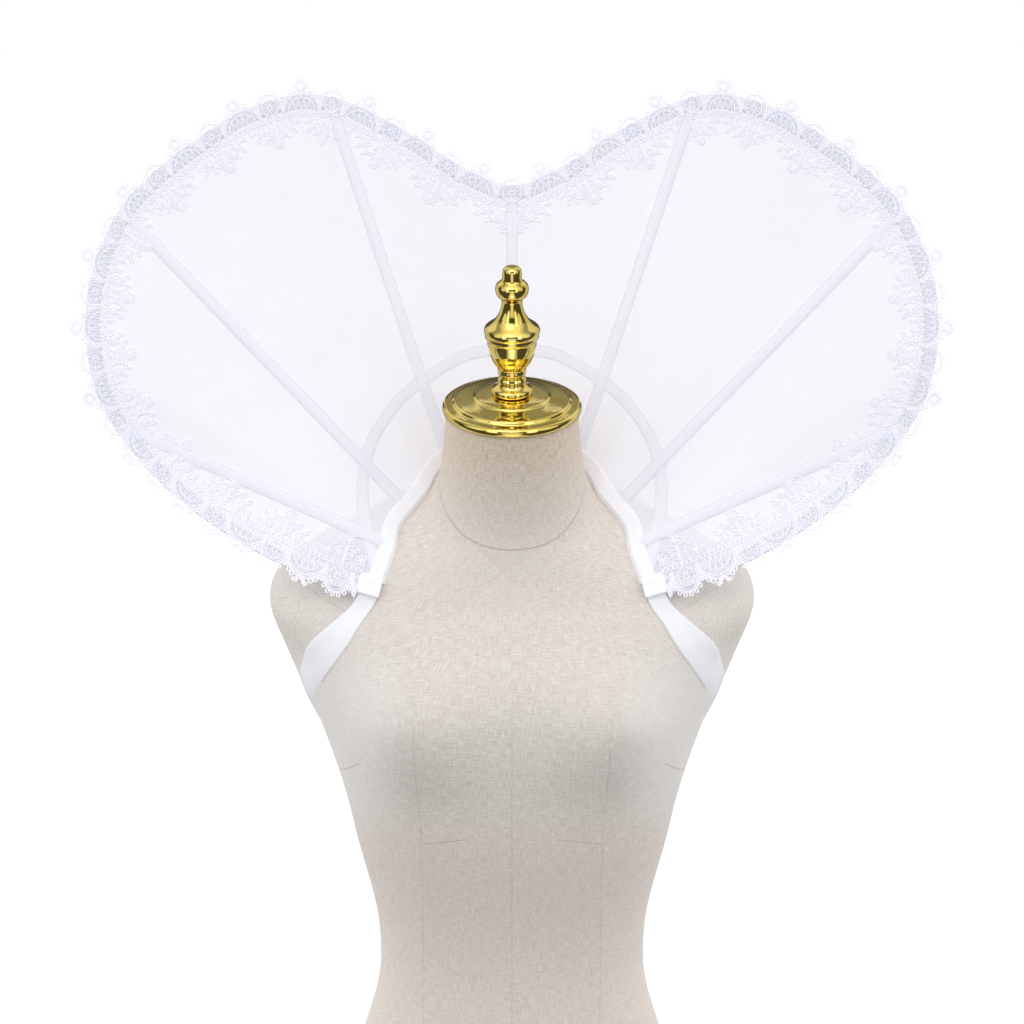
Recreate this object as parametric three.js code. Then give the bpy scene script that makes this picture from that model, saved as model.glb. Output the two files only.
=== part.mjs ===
// Medici collar on a dress form.
//
// A stand-up fan of stiff sheer cloth, cut as a heart, with a lace border, seven bone channels,
// an inner arc tape, a bound edge, a neckband and two satin armhole straps. A limbless dress
// form with a turned neck cap and finial carries it.
//
// Millimetres, +Z up. The form faces -Y and the wearer's right is at -X. The origin is the
// middle of the form's flat underside. Everything is symmetric about the plane x = 0.

import * as THREE from 'three';

// ---- driving dimensions ---------------------------------------------------------------

const SEAM = 0.3;             // gap left between pieces that are sewn or screwed together
const LAY = 0.5;              // gap under what is sewn flat onto the fan
const FAN_WALL = 1.0;         // the fan's cloth
const TAPE_WALL = 1.0;        // arc tape and neckband
const BONE_WALL = 1.2;        // a bone in its channel
const CHANNEL_WALL = 1.5;     // edge binding with the wire in it
const LACE_WALL = 1.5;
const STRAP_WALL = 1.2;

const BONE_WIDTH = 10;
const ARC_WIDTH = 11;
const NECKBAND_WIDTH = 13;
const CHANNEL_WIDTH = 13;
const CHANNEL_INSET = 2;      // from the fan's edge to the binding

const NECK_TILT = 16;         // degrees that the form's neck leans forward
const NECK_TOP = { back: -20, level: 729 };

const COLOURS = {
  linen: 0xdfd8d0,
  gold: 0xd9a520,
  organza: 0xf6f6fb,
  tape: 0xeceef4,
  lace: 0xf0f0f8,
  satin: 0xf2f2f9,
};

// ---- tables ----------------------------------------------------------------------------

const table = (columns, rows) => rows.map(
  (row) => Object.fromEntries(columns.map((name, i) => [name, row[i]])));

// Sections of the form, from its underside to the top of its neck. A section is a rounded
// ring in a plane that tilts forward by 'tilt' degrees about the point (0, back, level).
const FORM = table(['level', 'back', 'half', 'front', 'rear', 'tilt', 'square'], [
  [0, 0, 162, 100, 112, 0, 2.2],
  [60, 0, 159, 101, 114, 0, 2.2],
  [120, 0, 147, 97, 106, 0, 2.2],
  [170, 0, 133, 90, 91, 0, 2.2],
  [200, 0, 122.5, 84, 79, 0, 2.2],
  [230, 0, 117, 80, 72, 0, 2.15],
  [258, 0, 118, 80, 71, 0, 2.15],
  [286, 0, 121, 83, 73, 0, 2.15],
  [323, 0, 131.5, 91, 80, 0, 2.15],
  [351, 0, 139, 98, 86, 0, 2.2],
  [378, 0, 144.5, 103, 91, 0, 2.2],
  [405, 0, 152, 106, 95, 0, 2.2],
  [434, 0, 161.5, 108, 98, 0, 2.25],
  [464, 0, 172.5, 107, 101, 0, 2.3],
  [484, 0, 182.5, 105, 101, 1, 2.3],
  [503, 0, 191, 101, 101, 3, 2.35],
  [525, 0, 199.5, 95, 99, 6, 2.4],
  [543, 0, 207, 89, 97, 10, 2.5],
  [560, 0, 213, 84, 93, 14, 2.6],
  [574, 1, 212.5, 80, 89, 17, 2.6],
  [586, 2, 203, 76, 85, 20, 2.6],
  [600, 3, 174, 73, 80, 23, 2.6],
  [615, 4, 140, 70.5, 74, 26, 2.5],
  [630, 4, 107, 69, 68, 29, 2.4],
  [641, 4, 84, 68, 64, 30.5, 2.25],
  [650, 4, 71, 67, 61, 31, 2.1],
  [662, 1, 65.5, 63, 58, 28, 2],
  [680, -4, 61.5, 60, 57, 23.5, 2],
  [705, -12, 58.5, 58, 57, 18.5, 2],
  [NECK_TOP.level, NECK_TOP.back, 57.5, 57.5, 57.5, NECK_TILT, 2],
]);
const FORM_SEGMENTS = 36;

// The two soft mounds of the form's front.
const BUST = { reach: 26, apart: 88, level: 461, wide: 42, above: 52, below: 36 };

// Rays of the fan's left half, from the centre back to its front end. Each starts beside the
// form at (level, turn), where turn is in degrees round it from the centre back and off is the
// cloth's distance from it, and ends on the fan's edge at (x, y, z).
const RAYS = table(['level', 'turn', 'off', 'x', 'y', 'z'], [
  [652, 0, 3.4, 0, 139, 911],
  [652, 14, 3.4, -43, 136, 927],
  [652, 30, 3.4, -102, 131, 964],
  [652, 50, 3.4, -168, 127, 992],
  [652, 68, 3.4, -224, 121, 985],
  [650, 84, 3.2, -289, 108, 948],
  [639, 94, 2.8, -346, 88, 895],
  [634, 101, 2.6, -373, 60, 825],
  [631, 109, 2.4, -371, 38, 765],
  [629, 116, 2.2, -358, 27, 725],
  [624, 124, 1.8, -326, 9, 682],
  [617, 132, 1.4, -269, -19, 636],
  [611, 137, 1.2, -193, -46, 596],
  [607, 140, 1.2, -134, -60, 575.5],
]);
const BONE_RAYS = { centre: 0, inner: 3, outer: 6, lower: 9 };
const FAN_ROWS = 5;
const FAN_STEP = 23;          // longest step between columns along the edge
const EDGE_MARGIN = 16;       // how far the fan's surface is continued for the lace to lie on

// The inner arc tape, in the front view.
const ARC = table(['x', 'z'], [
  [0, 769], [-38, 766], [-73, 749], [-98, 731], [-116, 709],
  [-126, 687], [-130, 666], [-129, 643], [-122, 613],
]);

// The strap's middle line on the form, from the fan's front end down past the armpit and up
// the back to the neckline, as levels and degrees round from the centre front. 'lift' is how
// far its outer edge stands off the form.
const STRAP = table(['level', 'around', 'width', 'lift'], [
  [596, 38, 22, 7],
  [576, 36, 22, 4],
  [560, 38.5, 23, 1.5],
  [540, 46, 25, 0],
  [516, 57.5, 25, 0],
  [494, 71, 25, 0],
  [470, 86, 25, 0],
  [451, 101, 25, 0],
  [446, 117, 25, 0],
  [458, 131, 25, 0],
  [485, 142, 25, 0],
  [525, 147, 25, 0],
  [565, 147, 25, 0],
  [600, 143, 24, 1],
  [628, 139, 22, 0],
  [647, 137, 20, 0],
]);
const STRAP_STEPS = 3;        // steps between two rows of that table
const STRAP_REST = 1.6;       // from the form
const STRAP_ACROSS = 3;
const FAN_END_GAP = 0.8;      // from the fan's front end to the strap

// One repeat of the lace, from the middle of one wheel scallop to the middle of the next, with
// a picot ring half way. 'share' is the place along the repeat and the other columns say how
// far outside the fan's edge each thread line runs there. The second half is its mirror image.
const LACE = table(['share', 'ringTop', 'ringHole', 'outer', 'inner', 'stem', 'leaf', 'tip'], [
  [0, 0, 0, 7.0, -17, -24, -33, -43],
  [0.085, 0, 0, 6.0, -17, -24.5, -33, -40],
  [0.17, 0, 0, 2.6, -16, -25.5, -32, -36],
  [0.24, 0, 0, 0.8, -15.5, -26.5, -31, -34],
  [0.307, 0, 0, 2.4, -16, -27.5, -29, -32],
  [0.418, 7.0, 5.2, 3.0, -16.5, -24, -30, -34],
  [0.459, 11.2, 8.8, 3.2, -17, -24, -30, -34],
]);
const LACE_LINES = ['ringTop', 'ringHole', 'outer', 'inner', 'stem', 'leaf', 'tip'];
const LACE_CHART = [          // # is worked, . is open: rows between the lines above
  '.....###.....',
  '.....#.#.....',
  '#############',
  '#.#.......#.#',
  '####.....####',
  '##.........##',
];
const LACE_REPEATS = 14;      // whole repeats on each side
const LACE_CUT_COLUMN = 4;    // lace lengths join here, between a spray and a ring
const LACE_CUTS = [5, 10];    // repeats after which a length ends

// Turned profiles, as radius and height above the neck's flat top.
const CAP = table(['radius', 'height'], [
  [0, 0.3], [57, 0.3], [59.2, 1.5], [60, 4], [59.2, 6.5], [56.5, 8], [53, 8.2],
  [50.8, 9.2], [50.2, 10.6], [47, 11.6], [33.5, 13], [32.2, 14.4], [28.5, 15.4],
  [20, 16], [0, 16],
]);
const FINIAL = table(['radius', 'height'], [
  [0, 16.3], [16.4, 16.3], [17.6, 18], [17.4, 20.6], [15.4, 22.6], [13, 24.6], [12, 26.4],
  [12.6, 28], [11, 30], [11.8, 32.4], [10.6, 34.4], [12, 37], [13, 39], [11.2, 42.4],
  [12.6, 45], [15.4, 48.4], [18.4, 54.5], [20.6, 63], [21.6, 69], [23.3, 71.4],
  [22.6, 73.4], [23.5, 75.8], [23, 79], [19.4, 83.5], [15, 88.4], [11.2, 94.6],
  [8.5, 103.4], [11, 105.4], [13.7, 110.2], [13.2, 114], [10, 116.6], [8.1, 117.4],
  [8.1, 128], [5.4, 131.6], [0, 132.7],
]);
const CAP_SIDES = 24;
const FINIAL_SIDES = 16;

// ---- solids ----------------------------------------------------------------------------

const radians = THREE.MathUtils.degToRad;
const mirrored = (p) => new THREE.Vector3(-p.x, p.y, p.z);
const moved = (p, direction, distance) => p.clone().addScaledVector(direction, distance);

// A closed body from shared points and triangles, turned so that its faces point out.
function closedSolid(points, faces) {
  const used = new Map();
  const positions = [];
  const index = faces.map((i) => {
    if (!used.has(i)) {
      used.set(i, used.size);
      positions.push(...points[i].toArray());
    }
    return used.get(i);
  });
  let volume = 0;
  for (let f = 0; f < faces.length; f += 3) {
    const [a, b, c] = [0, 1, 2].map((k) => points[faces[f + k]]);
    volume += a.dot(b.clone().cross(c));
  }
  if (volume < 0) index.reverse();
  const geometry = new THREE.BufferGeometry();
  geometry.setAttribute('position', new THREE.Float32BufferAttribute(positions, 3));
  geometry.setIndex(index);
  geometry.computeVertexNormals();
  return geometry;
}

// A wall between two matching grids of points. isWorked(row, column) leaves cells open.
function wallSolid(under, over, isWorked = () => true) {
  const rows = under.length;
  const columns = under[0].length;
  const layer = rows * columns;
  const faces = [];
  const quad = (a, b, c, d) => faces.push(a, b, c, a, c, d);
  const cell = (r, c) => r >= 0 && c >= 0 && r < rows - 1 && c < columns - 1 && isWorked(r, c);
  for (let r = 0; r < rows - 1; r += 1) {
    for (let c = 0; c < columns - 1; c += 1) {
      if (!cell(r, c)) continue;
      const i = r * columns + c;
      const corners = [i, i + 1, i + columns + 1, i + columns];
      const open = [!cell(r - 1, c), !cell(r, c + 1), !cell(r + 1, c), !cell(r, c - 1)];
      quad(...corners.map((k) => k + layer));
      quad(...corners.slice().reverse());
      open.forEach((isOpen, k) => {
        const [p, q] = [corners[k], corners[(k + 1) % 4]];
        if (isOpen) quad(q + layer, p + layer, p, q);
      });
    }
  }
  return closedSolid([...under.flat(), ...over.flat()], faces);
}

// A body through closed rings, with a flat face over its first and its last ring.
function ringSolid(rings) {
  const sides = rings[0].length;
  const points = rings.flat();
  const faces = [];
  for (let r = 0; r < rings.length - 1; r += 1) {
    for (let k = 0; k < sides; k += 1) {
      const next = (k + 1) % sides;
      const [a, b] = [r * sides + k, r * sides + next];
      faces.push(a, b, b + sides, a, b + sides, a + sides);
    }
  }
  [0, rings.length - 1].forEach((r) => {
    const middle = rings[r].reduce((sum, p) => sum.add(p), new THREE.Vector3());
    points.push(middle.divideScalar(sides));
    for (let k = 0; k < sides; k += 1) {
      const [a, b] = [r * sides + k, r * sides + ((k + 1) % sides)];
      faces.push(...(r === 0 ? [b, a] : [a, b]), points.length - 1);
    }
  });
  return closedSolid(points, faces);
}

const group = new THREE.Group();

function addPiece(name, geometry, colour, metalness = 0, roughness = 0.8) {
  const material = new THREE.MeshStandardMaterial({ color: colour, metalness, roughness });
  const mesh = new THREE.Mesh(geometry, material);
  mesh.name = name;
  group.add(mesh);
  return mesh;
}

function mirrorSolid(geometry) {
  const copy = geometry.clone();
  copy.scale(-1, 1, 1);
  copy.setIndex(Array.from(copy.index.array).reverse());
  copy.computeVertexNormals();
  return copy;
}

function addPair(name, leftGeometry, colour, metalness, roughness) {
  addPiece(`${name}_right`, leftGeometry, colour, metalness, roughness);
  addPiece(`${name}_left`, mirrorSolid(leftGeometry), colour, metalness, roughness);
}

// ---- dress form ------------------------------------------------------------------------

const power = (value, exponent) => Math.sign(value) * Math.abs(value) ** exponent;

function bustReach(x, level) {
  const rise = level - BUST.level;
  const spread = rise > 0 ? BUST.above : BUST.below;
  const mound = (middle) => Math.exp(
    -((x - middle) ** 2) / (2 * BUST.wide ** 2) - rise ** 2 / (2 * spread ** 2));
  return BUST.reach * (mound(BUST.apart) + mound(-BUST.apart));
}

// The point of a section at an angle from the centre front, towards -X.
function sectionPoint(section, around) {
  const sine = Math.sin(radians(around));
  const cosine = Math.cos(radians(around));
  const x = -section.half * power(sine, 2 / section.square);
  let depth = -(cosine > 0 ? section.front : section.rear) * power(cosine, 2 / section.square);
  if (cosine > 0) depth -= bustReach(x, section.level) * Math.min(1, cosine * 1.6);
  const tilt = radians(section.tilt);
  return new THREE.Vector3(
    x, section.back + depth * Math.cos(tilt), section.level + depth * Math.sin(tilt));
}

// A point of the form's faceted surface, moved out by a distance.
function formPoint(level, around, out = 0) {
  const at = (l, a) => {
    const beyond = FORM.findIndex((section) => section.level > l);
    const row = beyond < 0 ? FORM.length - 2 : beyond - 1;
    const share = (l - FORM[row].level) / (FORM[row + 1].level - FORM[row].level);
    const step = 360 / FORM_SEGMENTS;
    const k = Math.floor(a / step);
    const part = a / step - k;
    const [low, high] = [FORM[row], FORM[row + 1]].map((section) =>
      sectionPoint(section, k * step).lerp(sectionPoint(section, (k + 1) * step), part));
    return low.lerp(high, share);
  };
  const up = at(level + 3, around).sub(at(level - 3, around));
  const round = at(level, around + 3).sub(at(level, around - 3));
  return moved(at(level, around), up.cross(round).normalize(), out);
}

function addForm() {
  const angles = Array.from({ length: FORM_SEGMENTS }, (_, k) => (k * 360) / FORM_SEGMENTS);
  const rings = FORM.map((section) => angles.map((around) => sectionPoint(section, around)));
  addPiece('form_torso', ringSolid(rings), COLOURS.linen, 0, 0.9);

  const turned = (profile, sides) => new THREE.LatheGeometry(
    profile.map(({ radius, height }) => new THREE.Vector2(radius, height)), sides);
  const seat = new THREE.Group();
  seat.position.set(0, NECK_TOP.back, NECK_TOP.level);
  seat.rotation.x = radians(90 + NECK_TILT);
  seat.add(addPiece('form_neck_cap', turned(CAP, CAP_SIDES), COLOURS.gold, 1, 0.2));
  seat.add(addPiece('form_finial', turned(FINIAL, FINIAL_SIDES), COLOURS.gold, 1, 0.2));
  group.add(seat);
}

// ---- the fan's surface -----------------------------------------------------------------

// A smooth curve through the rays' points and their mirror images, so that it runs level at
// the centre back. It is read by the ray's number, from 0.
function halfCurve(points, mirror) {
  const curve = new THREE.CatmullRomCurve3(
    [...points.slice(1).reverse().map(mirror), ...points], false, 'centripetal');
  return (ray) => curve.getPoint(0.5 + (0.5 * ray) / (points.length - 1));
}

const edgeAt = halfCurve(RAYS.map(({ x, y, z }) => new THREE.Vector3(x, y, z)), mirrored);
const neckTurn = halfCurve(
  RAYS.map(({ level, turn, off }) => new THREE.Vector3(level, turn, off)),
  (p) => new THREE.Vector3(p.x, -p.y, p.z));
const neckAt = (ray) => {
  const place = neckTurn(ray);
  return formPoint(place.x, 180 - place.y, place.z);
};

const inFront = (p) => new THREE.Vector2(p.x, p.z);

// Columns of the fan: ray numbers, with more between rays that end far apart.
const COLUMNS = [0];
for (let ray = 0; ray < RAYS.length - 1; ray += 1) {
  const steps = Math.ceil(edgeAt(ray).distanceTo(edgeAt(ray + 1)) / FAN_STEP);
  for (let k = 1; k <= steps; k += 1) COLUMNS.push(ray + k / steps);
}

// The grid of the fan's back face, and its normals towards the front.
const FAN_GRID = COLUMNS.map((ray) => {
  const [neck, edge] = [neckAt(ray), edgeAt(ray)];
  return Array.from({ length: FAN_ROWS + 1 }, (_, r) => neck.clone().lerp(edge, r / FAN_ROWS));
});
const FAN_NORMALS = FAN_GRID.map((column, c) => column.map((point, r) => {
  const before = FAN_GRID[Math.max(c - 1, 0)][r];
  const after = FAN_GRID[Math.min(c + 1, FAN_GRID.length - 1)][r];
  const up = column[FAN_ROWS].clone().sub(column[0]);
  const normal = up.cross(after.clone().sub(before)).normalize();
  if (normal.y > 0) normal.negate();
  return c === 0 ? normal.setX(0).normalize() : normal;
}));

// One more row outside the edge, in the fan's own slope there, only for the lace to lie on.
COLUMNS.forEach((ray, c) => {
  const [before, after] = [Math.max(ray - 0.02, 0), Math.min(ray + 0.02, RAYS.length - 1)];
  const along = edgeAt(after).sub(edgeAt(before));
  const outward = new THREE.Vector3(along.z, 0, -along.x).normalize();
  if (c === 0) outward.set(0, 0, 1);
  const normal = FAN_NORMALS[c][FAN_ROWS];
  outward.y = -(outward.x * normal.x + outward.z * normal.z) / normal.y;
  FAN_GRID[c].push(moved(edgeAt(ray), outward, EDGE_MARGIN));
  FAN_NORMALS[c].push(normal);
});

// Triangles of the grid, as corner points and normals, for laying other pieces on it.
const FAN_FACETS = [];
for (let c = 0; c < FAN_GRID.length - 1; c += 1) {
  for (let r = 0; r <= FAN_ROWS; r += 1) {
    const corner = (dc, dr) => [FAN_GRID[c + dc][r + dr], FAN_NORMALS[c + dc][r + dr]];
    FAN_FACETS.push([corner(0, 0), corner(1, 0), corner(1, 1)]);
    FAN_FACETS.push([corner(0, 0), corner(1, 1), corner(0, 1)]);
  }
}

// The point of the fan behind (x, z) in the front view, moved out from its back face. A place
// outside every facet is brought onto the nearest one's rim.
function onFan({ x, y: z }, out) {
  const place = new THREE.Vector2(-Math.abs(x), z);
  let best = { distance: Infinity };
  FAN_FACETS.forEach((corners) => {
    const [a, b, c] = corners.map(([corner]) => inFront(corner));
    const [toB, toC, toPlace] = [b, c, place].map((p) => p.clone().sub(a));
    const area = toB.cross(toC);
    if (Math.abs(area) < 1e-9) return;
    const [shareB, shareC] = [toPlace.cross(toC) / area, toB.cross(toPlace) / area];
    const held = [1 - shareB - shareC, shareB, shareC].map((share) => Math.max(share, 0));
    const sum = held[0] + held[1] + held[2];
    const shares = held.map((share) => share / sum);
    const spot = a.clone().addScaledVector(toB, shares[1]).addScaledVector(toC, shares[2]);
    const distance = spot.distanceTo(place);
    if (distance < best.distance - 1e-6) best = { distance, corners, shares };
  });
  const point = new THREE.Vector3();
  best.corners.forEach(([corner, normal], k) => {
    point.addScaledVector(corner, best.shares[k]).addScaledVector(normal, best.shares[k] * out);
  });
  return x > 0 ? mirrored(point) : point;
}

function addFan() {
  const layer = (out) => FAN_GRID.map((column, c) => column.slice(0, FAN_ROWS + 1).map((point, r) => {
    const p = moved(point, FAN_NORMALS[c][r], out);
    return c === 0 ? p.setX(-SEAM / 2) : p;
  }));
  addPair('fan', wallSolid(layer(0), layer(FAN_WALL)), COLOURS.organza, 0, 0.5);
}

// ---- tapes and bones on the fan --------------------------------------------------------

// A line in the front view with its length, read by distance from its start.
function frontLine(points) {
  const lengths = [0];
  points.slice(1).forEach((p, i) => lengths.push(lengths[i] + p.distanceTo(points[i])));
  const length = lengths.at(-1);
  const at = (distance) => {
    const d = THREE.MathUtils.clamp(distance, 0, length);
    const beyond = lengths.findIndex((l) => l > d);
    const i = beyond < 0 ? points.length - 2 : beyond - 1;
    return points[i].clone().lerp(points[i + 1], (d - lengths[i]) / (lengths[i + 1] - lengths[i]));
  };
  const leftOf = (distance) => {
    const along = at(distance + 2).sub(at(distance - 2)).normalize();
    return new THREE.Vector2(-along.y, along.x);
  };
  // the distance from a place, or from its mirror image where that lies on the line's side
  const awayFrom = (place) => {
    const own = new THREE.Vector2(-Math.abs(place.x), place.y);
    return Math.min(...points.slice(1).map((q, i) => {
      const p = points[i];
      const share = own.clone().sub(p).dot(q.clone().sub(p)) / q.distanceToSquared(p);
      return own.distanceTo(p.clone().lerp(q, THREE.MathUtils.clamp(share, 0, 1)));
    }));
  };
  return { length, at, leftOf, awayFrom };
}

const FINE = 6;               // curve points for each row of a table
function smoothLine(read, rows) {
  return frontLine(Array.from({ length: (rows - 1) * FINE + 1 }, (_, i) => read(i / FINE)));
}
const EDGE_LINE = smoothLine((ray) => inFront(edgeAt(ray)), RAYS.length);
const arcAt = halfCurve(ARC.map(({ x, z }) => new THREE.Vector3(x, 0, z)), mirrored);
const ARC_LINE = smoothLine((row) => inFront(arcAt(row)), ARC.length);

// A point on a column of the fan, at a share of its length, moved out from the back face.
function onColumn(c, share, out) {
  const row = Math.min(Math.floor(share * FAN_ROWS), FAN_ROWS - 1);
  const part = share * FAN_ROWS - row;
  const normal = FAN_NORMALS[c][row].clone().lerp(FAN_NORMALS[c][row + 1], part);
  const point = moved(FAN_GRID[c][0].clone().lerp(FAN_GRID[c][FAN_ROWS], share), normal, out);
  return c === 0 ? point.setX(-SEAM / 2) : point;
}

// The share of each column that a strip of a given width takes, across the curve 'read'.
function columnShares(read, width) {
  return COLUMNS.map((ray, c) => {
    const [before, after] = [Math.max(ray - 0.02, 0), Math.min(ray + 0.02, RAYS.length - 1)];
    const along = read(after).sub(read(before)).normalize();
    const column = FAN_GRID[c][FAN_ROWS].clone().sub(FAN_GRID[c][0]);
    return width / column.cross(along).length();
  });
}
const BAND_SHARES = columnShares(neckAt, NECKBAND_WIDTH);
const BINDING_OUTER = columnShares(edgeAt, CHANNEL_INSET).map((share) => 1 - share);
const BINDING_INNER = columnShares(edgeAt, CHANNEL_INSET + CHANNEL_WIDTH).map((s) => 1 - s);
const boundColumns = COLUMNS.map((_, c) => c).filter(
  (c) => BINDING_INNER[c] > BAND_SHARES[c] + 0.1);
const BAND_LINE = frontLine(COLUMNS.map((_, c) => inFront(onColumn(c, BAND_SHARES[c], 0))));
const BINDING_LINE = frontLine(boundColumns.map((c) => inFront(onColumn(c, BINDING_INNER[c], 0))));

// A strip between two shares of some of the fan's columns.
function columnStrip(columns, near, far, low, wall) {
  const layer = (out) => [near, far].map((shares) => columns.map((c) => onColumn(c, shares[c], out)));
  return wallSolid(layer(low), layer(low + wall));
}

// A strip between two rows of front-view points, laid on the fan.
function laidStrip(rows, heightAt, wall) {
  const layer = (extra) => rows.map((row) => row.map((p) => onFan(p, heightAt(p) + extra)));
  return wallSolid(layer(0), layer(wall));
}

const LOW_ON_FAN = FAN_WALL + LAY;
const ARC_LOW = LOW_ON_FAN + 0.25;
const OVER_ARC = ARC_LOW + TAPE_WALL + LAY;
const BONE_STEP = 7;
const TAPE_END = 2;           // from the end of a bone or tape to what it stops at
const ARC_STEP = 7;
const HUMP = { full: 9, none: 15 };   // distance from the arc where a bone is fully up, and down

function boneHeight(place) {
  const away = THREE.MathUtils.clamp(ARC_LINE.awayFrom(place), HUMP.full, HUMP.none);
  return THREE.MathUtils.mapLinear(away, HUMP.full, HUMP.none, OVER_ARC, LOW_ON_FAN);
}

// A bone's two side lines run from the neckband to the edge binding, with a seam at each.
function boneSolid(ray) {
  const start = inFront(neckAt(ray));
  const end = inFront(edgeAt(ray));
  const direction = end.clone().sub(start).normalize();
  const across = new THREE.Vector2(-direction.y, direction.x).multiplyScalar(BONE_WIDTH / 2);
  const sides = [-1, 1].map((sign) => {
    const place = (d) => start.clone().addScaledVector(direction, d).addScaledVector(across, sign);
    let low = NECKBAND_WIDTH * 2;
    while (BAND_LINE.awayFrom(place(low)) > TAPE_END) low -= 0.1;
    let high = start.distanceTo(end) / 2;
    while (BINDING_LINE.awayFrom(place(high)) > TAPE_END) high += 0.1;
    return { place, low, high };
  });
  const count = Math.round((sides[0].high - sides[0].low) / BONE_STEP);
  const rows = sides.map(({ place, low, high }) => Array.from(
    { length: count + 1 }, (_, i) => place(THREE.MathUtils.lerp(low, high, i / count))));
  const isKept = rows[0].map((p, i) => i === count || i % 4 === 0
    || ARC_LINE.awayFrom(p) < HUMP.none + BONE_STEP);
  return laidStrip(rows.map((row) => row.filter((_, i) => isKept[i])), boneHeight, BONE_WALL);
}

function addBones() {
  addPiece('bone_centre', boneSolid(BONE_RAYS.centre), COLOURS.tape);
  ['inner', 'outer', 'lower'].forEach((name) => {
    addPair(`bone_${name}`, boneSolid(BONE_RAYS[name]), COLOURS.tape);
  });
}

// The arc tape runs from the centre back, where it is cut under the centre bone, to the upper
// side of the lower bone.
function arcSolid() {
  const bone = frontLine([neckAt, edgeAt].map((read) => inFront(read(BONE_RAYS.lower))));
  const sidesAt = (d) => [-1, 1].map((sign) =>
    ARC_LINE.at(d).addScaledVector(ARC_LINE.leftOf(d), (sign * ARC_WIDTH) / 2));
  const isClear = (d) => sidesAt(d).every((p) => bone.awayFrom(p) > BONE_WIDTH / 2 + TAPE_END
    && BAND_LINE.awayFrom(p) > TAPE_END);
  let end = ARC_LINE.length / 2;
  while (isClear(end + 0.5)) end += 0.5;
  const count = Math.ceil(end / ARC_STEP);
  const pairs = Array.from({ length: count + 1 }, (_, i) => sidesAt((end * i) / count));
  pairs[0].forEach((p) => p.setX(-SEAM / 2));
  return laidStrip([0, 1].map((side) => pairs.map((pair) => pair[side])), () => ARC_LOW, TAPE_WALL);
}

function addTapes() {
  const all = COLUMNS.map((_, c) => c);
  const none = COLUMNS.map(() => 0);
  addPair('arc_tape', arcSolid(), COLOURS.tape);
  addPair('neckband', columnStrip(all, none, BAND_SHARES, LOW_ON_FAN, TAPE_WALL), COLOURS.tape);
  addPair('edge_binding',
    columnStrip(boundColumns, BINDING_INNER, BINDING_OUTER, LOW_ON_FAN, CHANNEL_WALL), COLOURS.tape);
}

// ---- lace border -----------------------------------------------------------------------

const LACE_LOW = LOW_ON_FAN + CHANNEL_WALL + 2 * LAY;

// All thread lines across one side's lace, in order along the edge.
function laceLines() {
  const half = LACE.length;
  const ownColumns = LACE_CHART[0].length;
  const repeat = EDGE_LINE.length / (LACE_REPEATS + LACE[LACE_CUT_COLUMN].share);
  const lines = [];
  for (let k = 0; k <= LACE_REPEATS; k += 1) {
    for (let c = 0; c < ownColumns; c += 1) {
      const isFirstHalf = c < half;
      const line = LACE[isFirstHalf ? c : ownColumns - c];
      const share = isFirstHalf ? line.share : 1 - line.share;
      lines.push({ line, column: c, repeat: k, place: (k + share) * repeat });
      if (k === LACE_REPEATS && c === LACE_CUT_COLUMN) return lines;
    }
  }
  return lines;
}

function lacePoint({ line, place }, name, out) {
  const p = EDGE_LINE.at(place).addScaledVector(EDGE_LINE.leftOf(place), -line[name]);
  return onFan(p, out);
}

function addLace() {
  const lines = laceLines();
  const cuts = LACE_CUTS.map((k) => lines.findIndex(
    (l) => l.repeat === k && l.column === LACE_CUT_COLUMN));
  const starts = [0, ...cuts];
  const ends = [...cuts, lines.length - 1];
  starts.forEach((start, i) => {
    const own = lines.slice(start, ends[i] + 1).map((l) => ({ ...l }));
    own[0].place += SEAM / 2;
    own.at(-1).place -= SEAM / 2;
    const layer = (out) => LACE_LINES.map((name) => own.map((l) => {
      const p = lacePoint(l, name, out);
      return l.place < SEAM ? p.setX(-SEAM / 2) : p;
    }));
    const isWorked = (row, column) => LACE_CHART[row][own[column].column] === '#';
    const names = ['lace_top', 'lace_side', 'lace_lower'];
    addPair(names[i],
      wallSolid(layer(LACE_LOW), layer(LACE_LOW + LACE_WALL), isWorked), COLOURS.lace);
  });
}

// ---- armhole straps --------------------------------------------------------------------

function liftAt(t) {
  const place = t * (STRAP.length - 1);
  const row = Math.min(Math.floor(place), STRAP.length - 2);
  return THREE.MathUtils.lerp(STRAP[row].lift, STRAP[row + 1].lift, place - row);
}

// Points across the strap at one place of its middle line, on the form and moved out.
function strapRow(read, t, out) {
  const [here, ahead, behind] = [t, Math.min(t + 0.01, 1), Math.max(t - 0.01, 0)].map(read);
  const lift = liftAt(t);
  const middle = formPoint(here.x, here.y);
  const along = formPoint(ahead.x, ahead.y).sub(formPoint(behind.x, behind.y)).normalize();
  const perLevel = formPoint(here.x + 2, here.y).sub(middle).divideScalar(2);
  const perDegree = formPoint(here.x, here.y + 2).sub(middle).divideScalar(2);
  const normal = perLevel.clone().cross(perDegree).normalize();
  const across = normal.clone().cross(along).normalize();
  // solve across = a * perLevel + b * perDegree in the surface
  const [ll, ld, dd] = [perLevel.lengthSq(), perLevel.dot(perDegree), perDegree.lengthSq()];
  const [la, da] = [perLevel.dot(across), perDegree.dot(across)];
  const determinant = ll * dd - ld * ld;
  const a = (la * dd - da * ld) / determinant;
  const b = (da * ll - la * ld) / determinant;
  return Array.from({ length: STRAP_ACROSS + 1 }, (_, k) => {
    const share = k / STRAP_ACROSS;
    const offset = here.z * (0.5 - share);
    return formPoint(here.x + a * offset, here.y + b * offset, out + lift * share);
  });
}

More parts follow.
